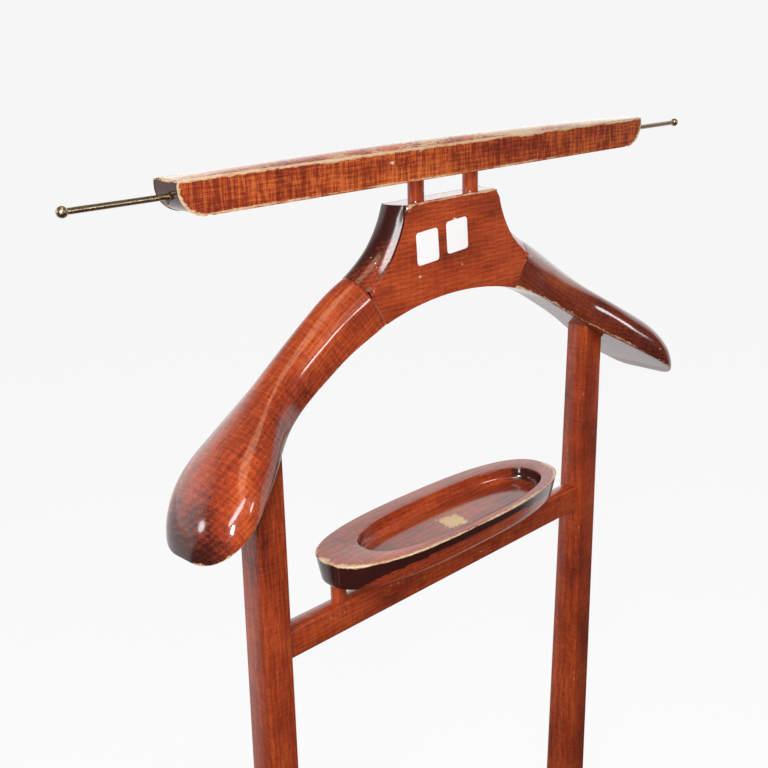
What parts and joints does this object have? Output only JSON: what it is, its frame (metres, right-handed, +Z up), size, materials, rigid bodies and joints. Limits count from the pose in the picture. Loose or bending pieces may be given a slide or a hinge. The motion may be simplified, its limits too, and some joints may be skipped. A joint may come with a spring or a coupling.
{
  "type": "valet stand",
  "caption": "Wooden valet stand with a coat hanger, a trouser bar with sliding tie rods, an oval dish tray and a shoe rest.",
  "frame": {"origin": "on the floor, midway between the two feet", "axes": "+Z up the stand, +X along the trouser bar to the viewer's right, the front faces -Y"},
  "size_m": [0.5644, 0.3, 1.078],
  "materials": {
    "bar_wood": "red-brown stain under gloss lacquer, worn pale along the top edges",
    "yoke_wood": "red-brown stain under gloss lacquer",
    "arm_wood": "red-brown stain under gloss lacquer, dark at the ends",
    "frame_wood": "red-brown stain under satin lacquer",
    "dowel_wood": "red-brown stain, satin",
    "tray_wood": "red-brown stain under gloss lacquer, near-black sides, worn gilt transfer in the dish",
    "raw_beech": "unfinished, hidden in the joints",
    "aged_brass": "dull and tarnished",
    "label_paper": "matt white paper",
    "glide_plastic": "matt brown plastic",
    "nail_steel": "plain steel"
  },
  "bodies": {
    "stand": {"arm_dowels_left": "raw_beech", "arm_dowels_right": "raw_beech", "bar_dowel_left": "dowel_wood", "bar_dowel_right": "dowel_wood", "foot_glides": "glide_plastic", "foot_left": "frame_wood", "foot_right": "frame_wood", "glide_nails": "nail_steel", "price_labels": "label_paper", "rod_ferrule_left": "aged_brass", "rod_ferrule_right": "aged_brass", "shoe_rail_back": "frame_wood", "shoe_rail_dowels_back": "raw_beech", "shoe_rail_dowels_front": "raw_beech", "shoe_rail_front": "frame_wood", "shoulder_arm_left": "arm_wood", "shoulder_arm_right": "arm_wood", "tray": "tray_wood", "tray_dowel_left": "dowel_wood", "tray_dowel_right": "dowel_wood", "tray_rail": "frame_wood", "tray_rail_dowel_left": "raw_beech", "tray_rail_dowel_right": "raw_beech", "trouser_bar": "bar_wood", "upright_foot_dowels_left": "raw_beech", "upright_foot_dowels_right": "raw_beech", "upright_left": "frame_wood", "upright_right": "frame_wood", "upright_top_dowel_left": "raw_beech", "upright_top_dowel_right": "raw_beech", "yoke": "yoke_wood"},
    "rod_left": {"tie_rod_left": "aged_brass", "rod_ball_left": "aged_brass", "rod_collar_left": "aged_brass"},
    "rod_right": {"tie_rod_right": "aged_brass", "rod_ball_right": "aged_brass", "rod_collar_right": "aged_brass"}
  },
  "joints": [
    {"name": "rod_left_slide", "type": "slide", "parent": "stand", "child": "rod_left", "axis": [-1, 0, 0], "range_m": [-0.057, 0.091]},
    {"name": "rod_right_slide", "type": "slide", "parent": "stand", "child": "rod_right", "axis": [1, 0, 0], "range_m": [-0.064, 0.085]}
  ]
}
